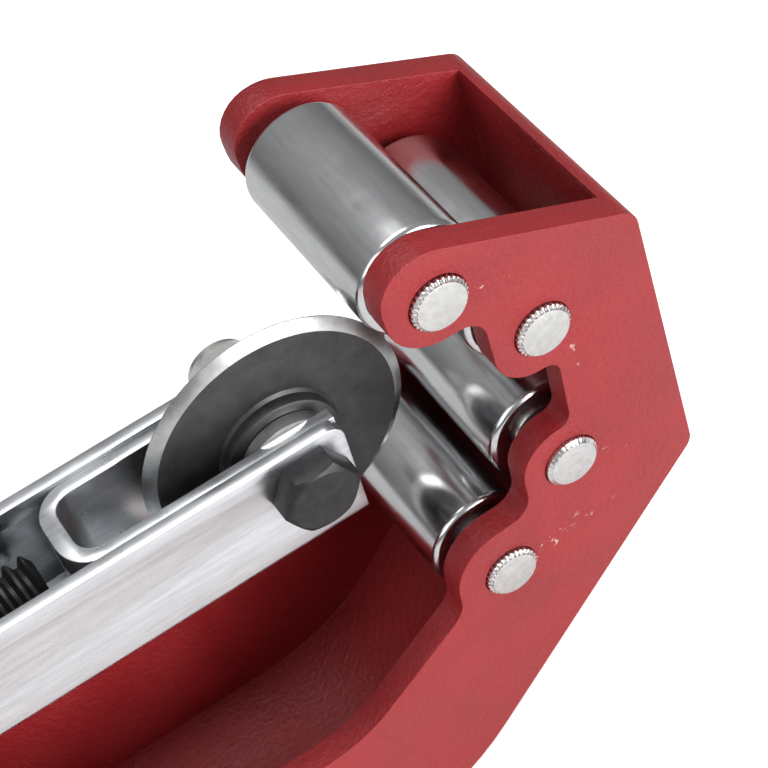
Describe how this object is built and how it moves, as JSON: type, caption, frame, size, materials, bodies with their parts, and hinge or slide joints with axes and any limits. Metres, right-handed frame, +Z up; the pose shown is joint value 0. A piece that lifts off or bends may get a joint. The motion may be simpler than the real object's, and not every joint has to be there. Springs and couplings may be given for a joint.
{
  "type": "pipe_cutter",
  "caption": "Quick-acting telescopic pipe cutter with a cast C frame, four rollers, a sliding channel with the cutting wheel, and a feed screw with a sprung half-nut latch.",
  "frame": {"origin": "middle of the flat base that the cutter stands on, midway between the two cheeks", "axes": "+X along the slide towards the rollers, +Y across the cutter along the roller pins, +Z up from the base"},
  "size_m": [0.2656, 0.0548, 0.1412],
  "materials": {
    "frame_paint": "textured",
    "pin_steel": "satin",
    "roller_steel": "satin",
    "channel_zinc": "satin",
    "fastener_steel": "satin",
    "cover_steel": "satin",
    "black_steel": "satin",
    "wheel_steel": "satin",
    "bush_bronze": "satin",
    "knob_plastic": "matte",
    "pad_plastic": "matte"
  },
  "bodies": {
    "frame": {"frame_casting": "frame_paint", "roller_pin_1": "pin_steel", "roller_pin_2": "pin_steel", "roller_pin_3": "pin_steel", "roller_pin_4": "pin_steel", "housing_cover": "cover_steel", "cover_screws": "fastener_steel", "latch_pivot_pin": "pin_steel", "pivot_spacers": "fastener_steel", "latch_spring": "fastener_steel"},
    "slide": {"slide_channel": "channel_zinc", "wheel_yoke": "channel_zinc", "wheel_bolt": "black_steel", "wheel_nut": "fastener_steel", "nut_washer": "fastener_steel", "wheel_bush": "bush_bronze", "side_washers": "fastener_steel", "bearing_block": "cover_steel", "block_screws": "fastener_steel"},
    "feed": {"feed_screw": "black_steel", "thrust_washer": "bush_bronze", "rear_washer": "fastener_steel", "handle_knob": "knob_plastic", "knob_pin": "fastener_steel"},
    "wheel": {"cutter_wheel": "wheel_steel"},
    "upper_outer_roller": {"roller_1": "roller_steel"},
    "upper_inner_roller": {"roller_2": "roller_steel"},
    "lower_inner_roller": {"roller_3": "roller_steel"},
    "lower_outer_roller": {"roller_4": "roller_steel"},
    "latch": {"latch_lever": "black_steel", "half_nut": "bush_bronze", "half_nut_screws": "fastener_steel", "thumb_pad": "pad_plastic"}
  },
  "joints": [
    {"name": "slide_feed", "type": "slide", "parent": "frame", "child": "slide", "axis": [1, 0, 0], "range_m": [-0.062, 0.006]},
    {"name": "screw_spin", "type": "hinge", "parent": "slide", "child": "feed", "pos_m": [-0.105, 0, 0.0895], "axis": [1, 0, 0], "range_deg": [-7440, 720]},
    {"name": "wheel_spin", "type": "hinge", "parent": "slide", "child": "wheel", "pos_m": [0.045, 0, 0.092], "axis": [0, 1, 0], "continuous": true},
    {"name": "upper_outer_roller_spin", "type": "hinge", "parent": "frame", "child": "upper_outer_roller", "pos_m": [0.0704, 0, 0.13], "axis": [0, 1, 0], "continuous": true},
    {"name": "upper_inner_roller_spin", "type": "hinge", "parent": "frame", "child": "upper_inner_roller", "pos_m": [0.0866, 0, 0.1111], "axis": [0, 1, 0], "continuous": true},
    {"name": "lower_inner_roller_spin", "type": "hinge", "parent": "frame", "child": "lower_inner_roller", "pos_m": [0.0866, 0, 0.0759], "axis": [0, 1, 0], "continuous": true},
    {"name": "lower_outer_roller_spin", "type": "hinge", "parent": "frame", "child": "lower_outer_roller", "pos_m": [0.0704, 0, 0.057], "axis": [0, 1, 0], "continuous": true},
    {"name": "latch_press", "type": "hinge", "parent": "frame", "child": "latch", "pos_m": [-0.083, 0, 0.109], "axis": [0, -1, 0], "range_deg": [0, 8], "stiffness_Nm_per_rad": 0.6, "springref_deg": -22.92, "deforming": ["latch_spring"]}
  ],
  "couplings": [
    {"joint": "screw_spin", "follows": "slide_feed", "rad_per_m": 2094.4}
  ]
}
